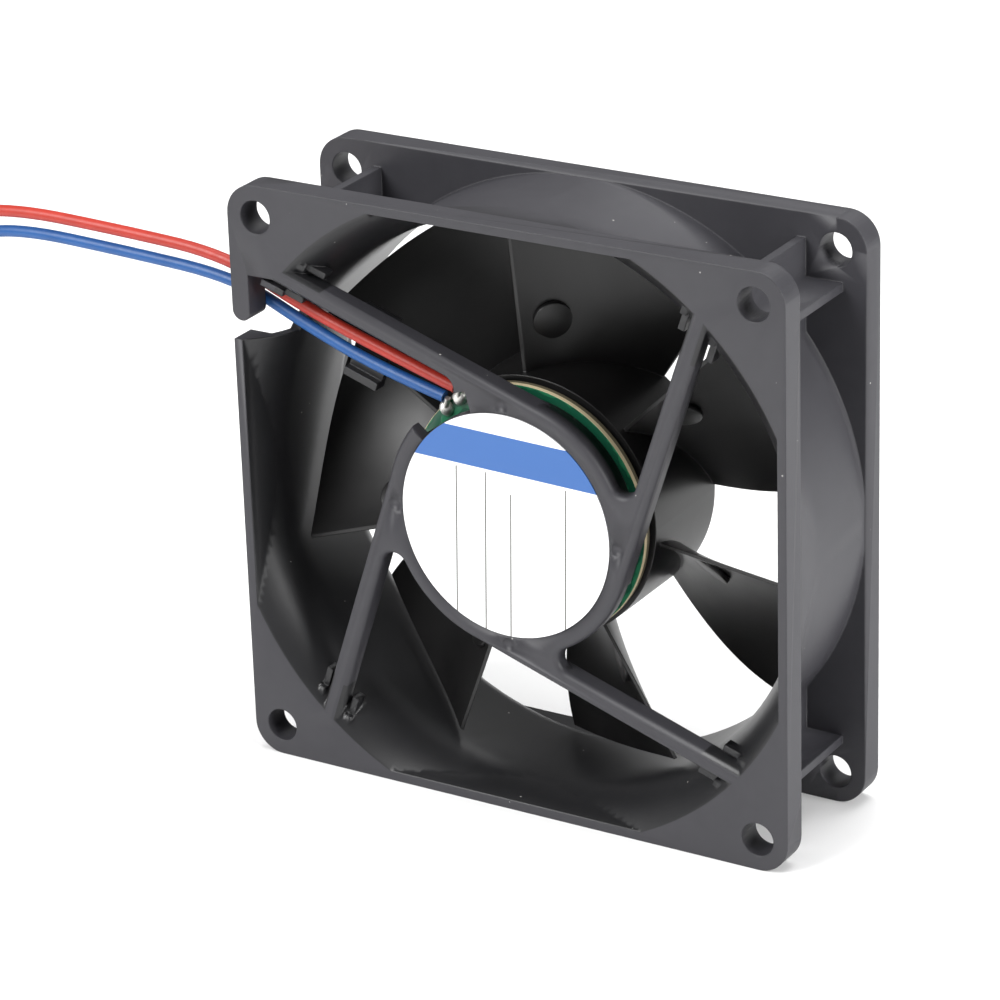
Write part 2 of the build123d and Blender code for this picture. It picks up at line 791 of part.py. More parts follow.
# Leads: from the board, past the hook, behind the lug and out, then down to the floor and the coil
lead_y = board_front - lead_diameter / 2
lay_z = floor + lead_diameter / 2 + lead_lift
red_y = coil_centre_y - coil_radius - coil_spacing / 2
blue_y = coil_centre_y - coil_radius + coil_spacing / 2
red_route = [
    (-9.5, lead_y, 15.6),
    (-20.6, lead_y, 18.9),
    (-32.3, lead_y, 22.8),
    (-43.9, lead_y, 27.9),
    (-60.2, lead_y, 28.7),
    (-79.0, lead_y, 29.1),
    (-90.0, lead_y - 0.2, 26.2),
    (-97.0, lead_y - 0.5, 16.8),
    (-98.6, red_y, 4.0),
    (-98.2, red_y, -10.5),
    (-99.0, red_y, -24.5),
    (-104.0, red_y, -35.6),
    (-113.5, red_y, lay_z),
    (coil_centre_x, red_y, lay_z),
]
blue_route = [
    (-11.2, lead_y, 14.0),
    (-21.4, lead_y, 16.4),
    (-31.5, lead_y, 20.2),
    (-42.2, lead_y, 25.0),
    (-60.0, lead_y, 25.9),
    (-78.5, lead_y, 26.4),
    (-87.5, lead_y + 0.2, 23.3),
    (-93.6, lead_y + 0.5, 13.8),
    (-95.2, blue_y, 1.5),
    (-94.8, blue_y, -12.5),
    (-95.8, blue_y, -25.5),
    (-101.0, blue_y, -36.0),
    (-111.0, blue_y, lay_z),
    (coil_centre_x, blue_y, lay_z),
]


def bend_radii(route):
    """The radius at each inner point of a route, from its shorter run and its turn."""
    points = [Vector(*point) for point in route]
    radii = []
    for before, here, after in zip(points, points[1:], points[2:]):
        turn = (here - before).get_angle(after - here)
        shorter = min((here - before).length, (after - here).length)
        radii.append(bend_share * shorter / tan(radians(turn / 2)))
    return radii


def lead(name, route):
    """A lead's tube along straight runs joined by tangent arcs."""
    radii = bend_radii(route)
    with BuildPart() as tube:
        with BuildLine() as path:
            FilletPolyline(*route, radius=radii)
        with BuildSketch(Plane(origin=path.line @ 0, z_dir=path.line % 0)):
            Circle(lead_diameter / 2)
        sweep()
    tube.part.label = name
    length = sum(edge.length for edge in path.edges())
    solid = pi * lead_diameter**2 / 4 * length
    print(name, "radii", [round(r, 1) for r in radii])
    print(name, "length", round(length, 1), "volume", round(tube.part.volume, 2), "section x length", round(solid, 2))
    return tube


red_lead = lead("red_lead", red_route)
export_step(red_lead.part, "parts/red_lead.step")
blue_lead = lead("blue_lead", blue_route)
export_step(blue_lead.part, "parts/blue_lead.step")

# The rest of both leads lies in one coil on the floor
coil_half = (coil_spacing + lead_diameter) / 2
with BuildPart() as lead_coil:
    with BuildSketch(Plane.XY.offset(floor)):
        with Locations((coil_centre_x, coil_centre_y)):
            Circle(coil_radius + coil_half)
            Circle(coil_radius - coil_half, mode=Mode.SUBTRACT)
    extrude(amount=coil_height)
lead_coil.part.label = "lead_coil"
export_step(lead_coil.part, "parts/lead_coil.step")

# Bare strands from the leads' ends to the pads, and the solder over the pads and the pins
strand_radius = strand_diameter / 2
pads = ((-9.3, 14.0), (-11.4, 12.2))
with BuildPart() as lead_strands:
    for route, pad in ((red_route, pads[0]), (blue_route, pads[1])):
        start = Vector(*route[0])
        inward = (start - Vector(*route[1])).normalized()
        end = start + inward * (strand_radius + strand_grip)
        foot = Vector(pad[0], board_front - strand_radius, pad[1])
        with BuildSketch(Plane(origin=foot, z_dir=(end - foot).normalized())):
            Circle(strand_radius)
        extrude(amount=(end - foot).length)
lead_strands.part.label = "lead_strands"
export_step(lead_strands.part, "parts/lead_strands.step")

with BuildPart() as solder_joints:
    spots = [(pad, joint_radius, joint_height) for pad in pads]
    spots += [(polar(post_circle, 45 + angle), 3 * pin_radius, pin_overhang) for angle in pole_angles]
    for spot, radius, height in spots:
        with BuildSketch(at_y(board_front)):
            with Locations(spot):
                Circle(radius)
        extrude(amount=height, taper=joint_taper)
    add(lead_strands.part, mode=Mode.SUBTRACT)
    add(winding_pins.part, mode=Mode.SUBTRACT)
solder_joints.part.label = "solder_joints"
export_step(solder_joints.part, "parts/solder_joints.step")
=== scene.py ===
# %% [markdown]
# # A compact axial cooling fan
# The fan stands on its lower edge, seen a little from its right and from above. The strut side, where the
# air leaves, faces us. The measured solids come in as a fixed frame, so nothing here moves them. This
# lesson adds the camera, the two free leads, some moulded details, the studio, and each surface's finish.

# %% Load the measured fan
import math

import bmesh
import bpy
from mathutils import Euler, Matrix, Vector, noise


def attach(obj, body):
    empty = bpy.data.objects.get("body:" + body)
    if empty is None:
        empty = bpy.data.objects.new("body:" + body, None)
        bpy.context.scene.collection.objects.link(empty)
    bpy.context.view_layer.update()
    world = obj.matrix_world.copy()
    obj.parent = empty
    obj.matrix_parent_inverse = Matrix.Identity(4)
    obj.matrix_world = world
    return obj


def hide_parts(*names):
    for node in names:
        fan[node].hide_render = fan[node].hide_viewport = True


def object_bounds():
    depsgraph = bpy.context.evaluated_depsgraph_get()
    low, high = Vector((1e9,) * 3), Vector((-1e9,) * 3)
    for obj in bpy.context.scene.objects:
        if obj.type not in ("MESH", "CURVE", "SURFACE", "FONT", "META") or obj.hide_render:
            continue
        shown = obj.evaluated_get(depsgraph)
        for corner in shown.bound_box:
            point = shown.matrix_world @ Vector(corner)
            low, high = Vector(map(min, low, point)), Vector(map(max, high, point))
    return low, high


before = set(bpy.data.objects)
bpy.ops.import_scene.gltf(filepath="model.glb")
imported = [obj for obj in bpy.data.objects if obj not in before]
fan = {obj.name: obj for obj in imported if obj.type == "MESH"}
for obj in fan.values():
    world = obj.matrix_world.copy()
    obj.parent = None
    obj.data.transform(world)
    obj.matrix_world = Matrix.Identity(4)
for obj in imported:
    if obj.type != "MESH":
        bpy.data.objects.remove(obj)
cad_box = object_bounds()
MM = 0.001
print("nodes:", len(fan))

# %% [markdown]
# ## Camera
# The photograph was taken with a long lens, from the right and from above. The camera's place was found
# from the screw holes that show, whose true spacing is known. A camera could be aimed with a constraint or
# be given a whole matrix. Azimuth, elevation and a slight roll are easier to read and to change.

# %% Set up the camera
AZIMUTH = 31.663
ELEVATION = 22.887
ROLL = -1.848
CAMERA_PLACE = (0.26267, -0.43951, 0.21523)
camera_data = bpy.data.cameras.new("camera")
camera_data.sensor_width = 36.0
camera_data.lens = 155.6
camera_data.clip_start = 0.01
camera_data.clip_end = 20.0
camera = bpy.data.objects.new("camera", camera_data)
bpy.context.scene.collection.objects.link(camera)
bpy.context.scene.camera = camera
look = Euler((math.radians(90 - ELEVATION), 0, math.radians(AZIMUTH))).to_matrix()
roll = Matrix.Rotation(math.radians(ROLL), 3, "Z")
camera.matrix_world = Matrix.Translation(CAMERA_PLACE) @ (look @ roll).to_4x4()
print("camera distance:", round(camera.location.length, 3))

# %% [markdown]
# ## Leads
# Two thin insulated wires leave the circuit board, pass behind the lug at the left edge and go on out of
# the picture. What the picture doesn't show is put away in a small round coil on the floor. A wire could be
# a tube built ring by ring. A NURBS curve with a round bevel bends more smoothly, and it needs nothing but
# the points of its route.

# %% Routes of the two leads
red_route = [
    (-9.5, -8.0, 15.6), (-20.6, -8.0, 18.9), (-32.3, -8.0, 22.8), (-43.9, -8.0, 27.9),
    (-60.2, -8.0, 28.7), (-79.0, -8.0, 29.1), (-90.0, -8.2, 26.2), (-97.0, -8.5, 16.8),
    (-98.6, -8.95, 4.0), (-98.2, -8.95, -10.5), (-99.0, -8.95, -24.5), (-104.0, -8.95, -35.6),
    (-113.5, -8.95, -38.9),
]
blue_route = [
    (-11.2, -8.0, 14.0), (-21.4, -8.0, 16.4), (-31.5, -8.0, 20.2), (-42.2, -8.0, 25.0),
    (-60.0, -8.0, 25.9), (-78.5, -8.0, 26.4), (-87.5, -7.8, 23.3), (-93.6, -7.5, 13.8),
    (-95.2, -7.05, 1.5), (-94.8, -7.05, -12.5), (-95.8, -7.05, -25.5), (-101.0, -7.05, -36.0),
    (-111.0, -7.05, -38.9),
]
print("route points:", len(red_route), len(blue_route))

# %% [markdown]
# The coil's turns are more points of the same curve. Its first turn lies on the floor, and after a short
# flat share of it the wire climbs by its own width in each turn.

# %% Lay the two leads
LEAD = 1.6 * MM
FLOOR = cad_box[0].z
FIRST_TURN = FLOOR + LEAD / 2 + 0.3 * MM
COIL_CENTRE = Vector((-120.5, 0.8)) * MM
COIL_PITCH = 1.66 * MM
TURN_POINTS = 16
FLAT_SHARE = 0.15


def lay_lead(name, route, radius, turns):
    """One lead: the route's points, then its turns on the floor, each a wire's width above the last."""
    points = [Vector(point) * MM for point in route]
    for step in range(int(turns * TURN_POINTS) + 1):
        angle = math.radians(-90) - 2 * math.pi * step / TURN_POINTS
        rise = COIL_PITCH * max(step / TURN_POINTS - FLAT_SHARE, 0)
        place = COIL_CENTRE + Vector((math.cos(angle), math.sin(angle))) * radius
        points.append(Vector((place.x, place.y, FIRST_TURN + rise)))
    curve = bpy.data.curves.new(name, "CURVE")
    curve.dimensions = "3D"
    curve.bevel_depth = 1.0
    curve.bevel_resolution = 5
    curve.resolution_u = 8
    curve.use_fill_caps = True
    spline = curve.splines.new("NURBS")
    spline.points.add(len(points) - 1)
    for spot, point in zip(spline.points, points):
        spot.co = (*point, 1)
        spot.radius = LEAD / 2
    spline.order_u = 3
    spline.use_endpoint_u = True
    wire = bpy.data.objects.new(name, curve)
    bpy.context.scene.collection.objects.link(wire)
    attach(wire, "stator")
    return wire, points


red_wire, red_points = lay_lead("red_wire", red_route, radius=9.75 * MM, turns=3.0)
blue_wire, blue_points = lay_lead("blue_wire", blue_route, radius=7.85 * MM, turns=3.75)
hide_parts("red_lead", "lead_coil")
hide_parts("blue_lead")
print("curve points:", len(red_points), len(blue_points))

# %% [markdown]
# ## Moulded details
# The measured housing is kept plain near its openings. The real moulding has ribs that end short of the
# flanges' edges, a rim that is cut away in front of the two solder pads, ledges of half the depth, a
# rounded corner on the lug, and a hook whose leg hides under its strut. All this could be built by hand,
# face by face. Boolean cuts in a copy of the mesh leave every other face where it was measured.


# %% Copy the housing
def new_piece(name, mesh, body):
    """An object made of this bmesh, riding on a body of the fan."""
    made = bpy.data.objects.new(name, bpy.data.meshes.new(name))
    bmesh.ops.recalc_face_normals(mesh, faces=mesh.faces)
    mesh.to_mesh(made.data)
    mesh.free()
    bpy.context.scene.collection.objects.link(made)
    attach(made, body)
    return made


shell = bmesh.new()
shell.from_mesh(fan["housing"].data)
bmesh.ops.remove_doubles(shell, verts=shell.verts, dist=1e-7)
moulding = new_piece("housing_moulding", shell, "stator")
print("housing faces:", len(moulding.data.polygons))

# %% [markdown]
# Most cutters are blocks that repeat on the four sides or on the four struts. One helper lays a block out
# in a frame turned about the fan's axis, so that its numbers are those of the first side. All cutters go
# into one mesh, and a single boolean cuts them all.

# %% Blocks for the ribs, the ledges and the hook
QUARTERS = (0, 90, 180, 270)
STRUT_TURN = 71.3
HOOK_TURN = STRUT_TURN + 90
RIBS = (-31.0, 31.0)
RIB_HALF = 0.8
RIB_ENDS = (36.7, 41.0)
RIB_DEPTH = (-8.9, 8.9)
LEDGES = ((-18.61, (34.0, 37.1)), (-13.91, (36.1, 39.1)))
LEDGE_HALF = 0.5
LEDGE_FRONT = (-12.3, -11.1)
PLAIN_LEG = ((24.4, 30.1), (-17.2, -15.5), (-9.88, -5.6))


def add_block(mesh, along, across, depth, turn):
    """A box in a frame turned about the fan's axis. Each side of the box is a pair of values in mm."""
    low, high = (Vector(corner) * MM for corner in zip(along, depth, across))
    place = Matrix.Rotation(math.radians(-turn), 4, "Y") @ Matrix.Translation((low + high) / 2)
    bmesh.ops.create_cube(mesh, size=1.0, matrix=place @ Matrix.Diagonal((*(high - low), 1)))


cutters = bmesh.new()
for quarter in QUARTERS:
    for rib in RIBS:
        add_block(cutters, RIB_ENDS, (rib - RIB_HALF, rib + RIB_HALF), RIB_DEPTH, quarter)
    for ledge, ends in LEDGES:
        across = (ledge - LEDGE_HALF, ledge + LEDGE_HALF)
        add_block(cutters, ends, across, LEDGE_FRONT, STRUT_TURN + quarter)
add_block(cutters, *PLAIN_LEG, HOOK_TURN)
print("cutter faces:", len(cutters.faces))

# %% [markdown]
# The rim's window follows the motor base round, and the lug's corner is an arc. A block can't cut either,
# so each cutter is an outline of arcs, extruded along the axis from in front of the fan.

# %% Prisms for the rim and the lug
ARC_STEPS = 12
IN_FRONT = -13.2
RIM_INNER, RIM_OUTER, RIM_REAR = 15.25, 18.2, -10.7
RIM_START, RIM_END = 107, 141
LUG_TIP, LUG_CENTRE = (-41.0, 20.5), (-38.6, 22.7)
LUG_ROUNDING, LUG_REAR = 1.4, -8.4


def arc(radius, start, end, centre=(0, 0)):
    """The points of an arc in the plane across the axis, as pairs of x and z in mm."""
    angles = [math.radians(start + (end - start) * step / ARC_STEPS) for step in range(ARC_STEPS + 1)]
    return [(centre[0] + radius * math.cos(angle), centre[1] + radius * math.sin(angle)) for angle in angles]


def add_prism(mesh, outline, front, rear):
    """A prism along the axis with this outline, from front to rear, in mm."""
    corners = [mesh.verts.new(Vector((x, front, z)) * MM) for x, z in outline]
    pushed = bmesh.ops.extrude_face_region(mesh, geom=[mesh.faces.new(corners)])
    moved = [part for part in pushed["geom"] if isinstance(part, bmesh.types.BMVert)]
    bmesh.ops.translate(mesh, verts=moved, vec=(0, (rear - front) * MM, 0))


window = arc(RIM_OUTER, RIM_START, RIM_END) + arc(RIM_INNER, RIM_END, RIM_START)
add_prism(cutters, window, IN_FRONT, RIM_REAR)
add_prism(cutters, [LUG_TIP, *arc(LUG_ROUNDING, 270, 180, LUG_CENTRE)], IN_FRONT, LUG_REAR)
print("cutter faces:", len(cutters.faces))

# %% [markdown]
# The exact solver is slower than the others, but it keeps thin walls whole. A second boolean adds the
# hook's new leg, closer to its strut. Faces that meet at more than 30 degrees are then marked sharp, so
# that the round parts shade smoothly and the edges stay crisp.

# %% Cut and add
NEW_LEG = ((24.7, 29.8), (-15.6, -14.7), (-10.2, -6.4))
SHARP = math.radians(30)


def combine(piece, mesh, operation):
    """Cuts this bmesh out of the piece, or adds it, with one exact boolean."""
    tool = new_piece("boolean_tool", mesh, "stator")
    boolean = piece.modifiers.new("boolean", "BOOLEAN")
    boolean.operation = operation
    boolean.solver = "EXACT"
    boolean.object = tool
    bpy.context.view_layer.objects.active = piece
    bpy.ops.object.modifier_apply(modifier=boolean.name)
    bpy.data.objects.remove(tool)


combine(moulding, cutters, "DIFFERENCE")
leg = bmesh.new()
add_block(leg, *NEW_LEG, HOOK_TURN)
combine(moulding, leg, "UNION")
moulding.data.shade_smooth()
moulding.data.set_sharp_from_angle(angle=SHARP)
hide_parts("housing")
print("faces after the cuts:", len(moulding.data.polygons))

# %% [markdown]
# ## Pads on the blades
# Ejector pins pushed the impeller out of its mould and left a round pad on each blade, on the side that
# faces the struts. Seven pads could be placed one by one. Here the first one's place and facing are given,
# and the others are the same pad turned about the axis, so that all blades stay alike. A cone of two equal
# radii makes the disc, and a small bevel softens its rim.

# %% Pads on the blades
BLADES = 7
PAD_PLACE = Vector((0.584, -0.585, 23.926)) * MM
PAD_FACING = Vector((0.7185, -0.6699, -0.1872))
PAD_RADIUS = 2.6 * MM
PAD_HEIGHT = 0.7 * MM
PAD_LIFT = 0.1
PAD_ROUNDING = 0.12 * MM
pads = bmesh.new()
facing = PAD_FACING.to_track_quat("Z", "Y").to_matrix().to_4x4()
seat = Matrix.Translation(PAD_PLACE + PAD_FACING * PAD_LIFT * MM) @ facing
for blade in range(BLADES):
    turn = Matrix.Rotation(2 * math.pi * blade / BLADES, 4, "Y")
    bmesh.ops.create_cone(pads, cap_ends=True, segments=48, radius1=PAD_RADIUS, radius2=PAD_RADIUS,
                          depth=PAD_HEIGHT, matrix=turn @ seat)
rims = [edge for edge in pads.edges if any(len(face.verts) > 4 for face in edge.link_faces)]
bmesh.ops.bevel(pads, geom=rims, offset=PAD_ROUNDING, segments=2, affect="EDGES", profile=0.5, material=-1)
blade_pads = new_piece("blade_pads", pads, "rotor")
blade_pads.data.shade_smooth()
blade_pads.data.set_sharp_from_angle(angle=SHARP)
print("pads:", BLADES)

# %% [markdown]
# ## Solder
# Solder freezes as a small smooth mound round the strand or the pin that it holds. The measured joints are
# plain round shapes, which look machined. A mound could be sculpted, but a flattened sphere whose points
# are pushed in and out by a noise is enough at this size, and no two come out alike. The first two mounds
# hold the leads, and the four on a circle hold the winding pins.

# %% Solder mounds
BOARD_FACE = -7.2
LEAD_MOUNDS = ((-9.3, 14.0, 1.05, 0.95), (-11.4, 12.2, 1.05, 0.9))
PIN_CIRCLE = 8.7
PIN_MOUND = (0.85, 0.75)
LUMP_SCALE = 900
LUMP_SHARE = 0.16
SUNK = 0.05
spots = list(LEAD_MOUNDS)
for quarter in QUARTERS:
    angle = math.radians(45 + quarter)
    spots.append((PIN_CIRCLE * math.cos(angle), PIN_CIRCLE * math.sin(angle), *PIN_MOUND))
mounds = bmesh.new()
for x, z, radius, height in spots:
    centre = Vector((x, BOARD_FACE, z)) * MM
    flattened = Matrix.Translation(centre) @ Matrix.Diagonal((radius, height, radius, 1))
    mound = bmesh.ops.create_uvsphere(mounds, u_segments=24, v_segments=16, radius=MM, matrix=flattened)
    for vert in mound["verts"]:
        push = noise.noise(vert.co * LUMP_SCALE)
        vert.co = centre + (vert.co - centre) * (1 + LUMP_SHARE * push)
        vert.co.y = min(vert.co.y, (BOARD_FACE + SUNK) * MM)
bmesh.ops.dissolve_degenerate(mounds, edges=mounds.edges, dist=1e-6)
solder_mounds = new_piece("solder_mounds", mounds, "stator")
solder_mounds.data.shade_smooth()
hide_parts("solder_joints")
print("mounds:", len(spots))

# %% [markdown]
# ## Studio
# The picture was taken on a white table and is bright to the point of clipping, with very dark hollows. A
# bright surround alone would give the white, but it would grey the black plastic. So the camera sees a
# white surround, while the fan is lit by a dimmer one and by three large soft lights. The floor is only a
# metre square, because the far part of a wider one gets no light and shows as a grey band.

# %% Floor
bpy.context.scene.view_settings.view_transform = "Standard"
bpy.ops.mesh.primitive_plane_add(size=1.0, location=(0, 0, FLOOR))
floor = bpy.context.object
floor.name = "floor"
floor_paint = bpy.data.materials.new("pale_floor")
floor_paint.use_nodes = True
floor_shader = floor_paint.node_tree.nodes["Principled BSDF"]
floor_shader.inputs["Base Color"].default_value = (0.86, 0.86, 0.86, 1)
floor_shader.inputs["Roughness"].default_value = 0.7
floor.data.materials.append(floor_paint)
print("floor height:", round(FLOOR, 4))

# %% Surround
SURROUND_LIGHT = 0.2
surround = bpy.data.worlds.new("surround")
surround.use_nodes = True
background = surround.node_tree.nodes["Background"]
background.inputs["Color"].default_value = (1, 1, 1, 1)
seen = surround.node_tree.nodes.new("ShaderNodeLightPath")
strength = surround.node_tree.nodes.new("ShaderNodeMapRange")
strength.inputs["To Min"].default_value = SURROUND_LIGHT
strength.inputs["To Max"].default_value = 1.0
surround.node_tree.links.new(seen.outputs["Is Camera Ray"], strength.inputs["Value"])
surround.node_tree.links.new(strength.outputs["Result"], background.inputs["Strength"])
bpy.context.scene.world = surround
print("surround light:", SURROUND_LIGHT)

# %% [markdown]
# Black plastic shows little but what it reflects, so the lights' places matter more here than any colour.
# Small lamps would draw hard bright dots. Square softboxes, all aimed at the fan's centre, draw the broad
# dull sheen that the picture shows.

# %% Lights
SOFTBOXES = (
    ("key_light", (-0.35, -0.55, 0.55), 0.5, 9),
    ("side_light", (0.65, -0.05, 0.25), 0.4, 6),
    ("top_light", (0.05, 0.25, 0.75), 0.6, 6),
)
for name, place, size, power in SOFTBOXES:
    light = bpy.data.lights.new(name, "AREA")
    light.size = size
    light.energy = power
    lamp = bpy.data.objects.new(name, light)
    bpy.context.scene.collection.objects.link(lamp)
    lamp.location = place
    lamp.rotation_euler = (-Vector(place)).to_track_quat("-Z", "Y").to_euler()
print("lights:", len(SOFTBOXES))

# %% [markdown]
# ## Writing finishes as maths
# A material is a graph of nodes. Linked by hand, a graph of a dozen maths nodes is hard to read and easy to
# get wrong. A small class that wraps a socket lets the same graph be written as an expression, such as
# `1 - mask * 0.5`. Each operator adds one Math node.


# %% A value over a surface
class Field:
    """A value that changes over a surface: one output socket, with Python's operators for its maths."""

    def __init__(self, finish, socket):
        self.finish = finish
        self.socket = socket

    def __add__(self, other):
        return self.finish.maths("ADD", self, other)

    def __sub__(self, other):
        return self.finish.maths("SUBTRACT", self, other)

    def __rsub__(self, other):
        return self.finish.maths("SUBTRACT", other, self)

    def __mul__(self, other):
        return self.finish.maths("MULTIPLY", self, other)

    def __truediv__(self, other):
        return self.finish.maths("DIVIDE", self, other)

    def __pow__(self, other):
        return self.finish.maths("POWER", self, other)

    def __abs__(self):
        return self.finish.maths("ABSOLUTE", self)

    def __gt__(self, other):
        return self.finish.maths("GREATER_THAN", self, other)

    def __lt__(self, other):
        return self.finish.maths("LESS_THAN", self, other)

    __radd__ = __add__
    __rmul__ = __mul__


# %% [markdown]
# Every other node comes from one method, which takes its type, its settings and what goes into its sockets.
# The few nodes that come back in each finish get a method of their own.


# %% One finish
class Finish:
    """One material, with a Principled shader and a short way to add nodes."""

    def __init__(self, name, **constants):
        self.material = bpy.data.materials.new(name)
        self.material.use_nodes = True
        self.tree = self.material.node_tree
        self.shader = self.tree.nodes["Principled BSDF"]
        for socket, value in constants.items():
            self.feed(self.shader.inputs[socket.replace("_", " ")], value)

    def feed(self, socket, value):
        """Links a field to a socket, or sets a number or a colour on it."""
        if isinstance(value, Field):
            self.tree.links.new(value.socket, socket)
        elif isinstance(value, tuple) and len(value) == 3 and socket.type == "RGBA":
            socket.default_value = (*value, 1)
        else:
            socket.default_value = value

    def node(self, kind, settings=None, inputs=None, output=0):
        """Any node: its settings first, then its sockets, and the field of one of its outputs."""
        made = self.tree.nodes.new("ShaderNode" + kind)
        for key, value in (settings or {}).items():
            setattr(made, key, value)
        for key, value in (inputs or {}).items():
            self.feed(made.inputs[key], value)
        return Field(self, made.outputs[output])

    def maths(self, operation, *values):
        return self.node("Math", {"operation": operation}, dict(enumerate(values)))

    def mix(self, share, low, high):
        """A colour between two: sockets 6 and 7 of a Mix node are its colours, and output 2 is the mix."""
        return self.node("Mix", {"data_type": "RGBA"}, {0: share, 6: low, 7: high}, output=2)

    def ramp(self, value, low, high):
        """0 below low, 1 above high, and a smooth rise between them."""
        limits = {"Value": value, "From Min": low, "From Max": high}
        return self.node("MapRange", {"interpolation_type": "SMOOTHSTEP"}, limits)

    def place(self):
        """Object coordinates in millimetres, as three fields."""
        coords = self.tree.nodes.new("ShaderNodeTexCoord").outputs["Object"]
        scaled = self.node("VectorMath", {"operation": "SCALE"}, {0: Field(self, coords), "Scale": 1 / MM})
        parts = self.tree.nodes.new("ShaderNodeSeparateXYZ")
        self.tree.links.new(scaled.socket, parts.inputs[0])
        self.vector = scaled
        return [Field(self, parts.outputs[axis]) for axis in range(3)]

    def noise(self, scale, detail=3.0, roughness=0.5):
        """Noise with this many swells in a millimetre."""
        look = {"Vector": self.vector, "Scale": scale, "Detail": detail, "Roughness": roughness}
        return self.node("TexNoise", {}, look)

    def wear(self, colour, roughness, height, depth=0.02, edge=0.0):
        """Connects what varies: colour, roughness and relief. Depth and rounded edge are in millimetres."""
        self.feed(self.shader.inputs["Base Color"], colour)
        self.feed(self.shader.inputs["Roughness"], roughness)
        relief = {"Height": height, "Distance": depth * MM, "Strength": 1.0}
        if edge:
            relief["Normal"] = self.node("Bevel", {"samples": 6}, {"Radius": edge * MM})
        self.feed(self.shader.inputs["Normal"], self.node("Bump", {}, relief))


def coat(finish, *names):
    """Gives these nodes or pieces a finish in place of what they had."""
    for name in names:
        piece = fan.get(name) or bpy.data.objects[name]
        piece.data.materials.clear()
        piece.data.materials.append(finish.material)
    print(finish.material.name, "on", *names)


# %% [markdown]
# ## Black moulded housing
# The housing is one moulding of glass-filled plastic. The mould was sparked to a grey satin grain outside
# and polished in the duct, which is glossier; the duct's darker colour is painted shade. The gloss is
# slightly uneven where the melt flowed, and a few specks of dust lie on it. The duct could be a material of
# its own on chosen faces. A mask worked out from the duct's own radii needs no choice of faces, and it ends
# exactly at the mouths' edges. Edges are rounded by a few tenths of a millimetre, which a bevel node shows
# without more faces.

# %% Where the duct is
DUCT_RADIUS = 38.75
OUTLET_START, OUTLET_LENGTH = -3.3, 9.4
INLET_START, INLET_LENGTH = 8.2, 4.5
MOUTH_GROWTH, MOUTH_POWER = 4.8, 2.4
SIDE_INSIDE, FACE_INSIDE = 39.3, 12.6
STRUT_REAR, STRUT_REACH = -9.7, 37.8
housing_skin = Finish("black_moulding", IOR=1.5)
x, y, z = housing_skin.place()
radius = housing_skin.maths("SQRT", x * x + z * z)
outlet = (OUTLET_START - y) / OUTLET_LENGTH
flare = housing_skin.maths("MAXIMUM", outlet, (y - INLET_START) / INLET_LENGTH)
mouth = DUCT_RADIUS + housing_skin.maths("MAXIMUM", flare, 0.0) ** MOUTH_POWER * MOUTH_GROWTH
reach = housing_skin.maths("MAXIMUM", abs(x), abs(z))
struts = (y < STRUT_REAR) * (radius < STRUT_REACH)
duct = (radius < mouth) * (reach < SIDE_INSIDE) * (abs(y) < FACE_INSIDE) * (1 - struts)
print("nodes in the mask:", len(housing_skin.tree.nodes))

# %% Housing finish
flow = housing_skin.noise(0.06, 4.0, 0.55)
cloud = housing_skin.noise(0.5, 3.0, 0.5)
grain = housing_skin.noise(7.0, 2.0, 0.6)
speck_grid = housing_skin.node("TexVoronoi", {}, {"Vector": housing_skin.vector, "Scale": 0.35})
speck = (speck_grid < 0.045) * (housing_skin.noise(0.9, 0.0) > 0.56)
blend = flow * 0.6 + cloud * 0.4
outer = housing_skin.mix(blend, (0.022, 0.0215, 0.026), (0.038, 0.037, 0.043))
# The duct's darker tone is painted shade, not a colour of the plastic; only its lower roughness is real.
duct_painted_shade = housing_skin.mix(blend, (0.007, 0.007, 0.008), (0.013, 0.013, 0.0145))
tone = housing_skin.mix(duct, outer, duct_painted_shade)
tone = housing_skin.mix(speck * 0.7, tone, (0.45, 0.44, 0.42))
gloss = 0.42 - duct * 0.13 + flow * 0.12 + grain * 0.06 + speck * 0.3
housing_skin.wear(tone, gloss, grain * (1 - duct * 0.7) + cloud * 0.5, depth=0.012, edge=0.3)
coat(housing_skin, "housing_moulding")

# %% [markdown]
# ## Impeller
# The impeller comes from another mould and is smoother than the housing. A faint swirl of gloss lies on the
# blades, where the melt flowed from the hub. It could follow each blade's own direction, but a slow noise in
# the gloss looks the same from any side and asks for no map of the surface.

# %% Impeller finish
impeller_skin = Finish("impeller_moulding", IOR=1.5)
impeller_skin.place()
streaks = impeller_skin.noise(0.15, 4.0, 0.6)
fine = impeller_skin.noise(9.0, 2.0, 0.5)
tone = impeller_skin.mix(streaks, (0.003, 0.003, 0.0034), (0.008, 0.0075, 0.0075))
impeller_skin.wear(tone, 0.30 + streaks * 0.14, fine + streaks * 0.3, depth=0.006, edge=0.2)
coat(impeller_skin, "impeller", "blade_pads")

# %% [markdown]
# ## Label
# The label is a thin white film, flush with the motor base. It has a plain layout: a blue band near the top
# and four thin rules that run down to the film's edge. Bands could be faces of their own, but then the film
# would need cuts in its mesh. Both are drawn from the place on the disc instead, turned by the small angle
# at which the film was stuck on.

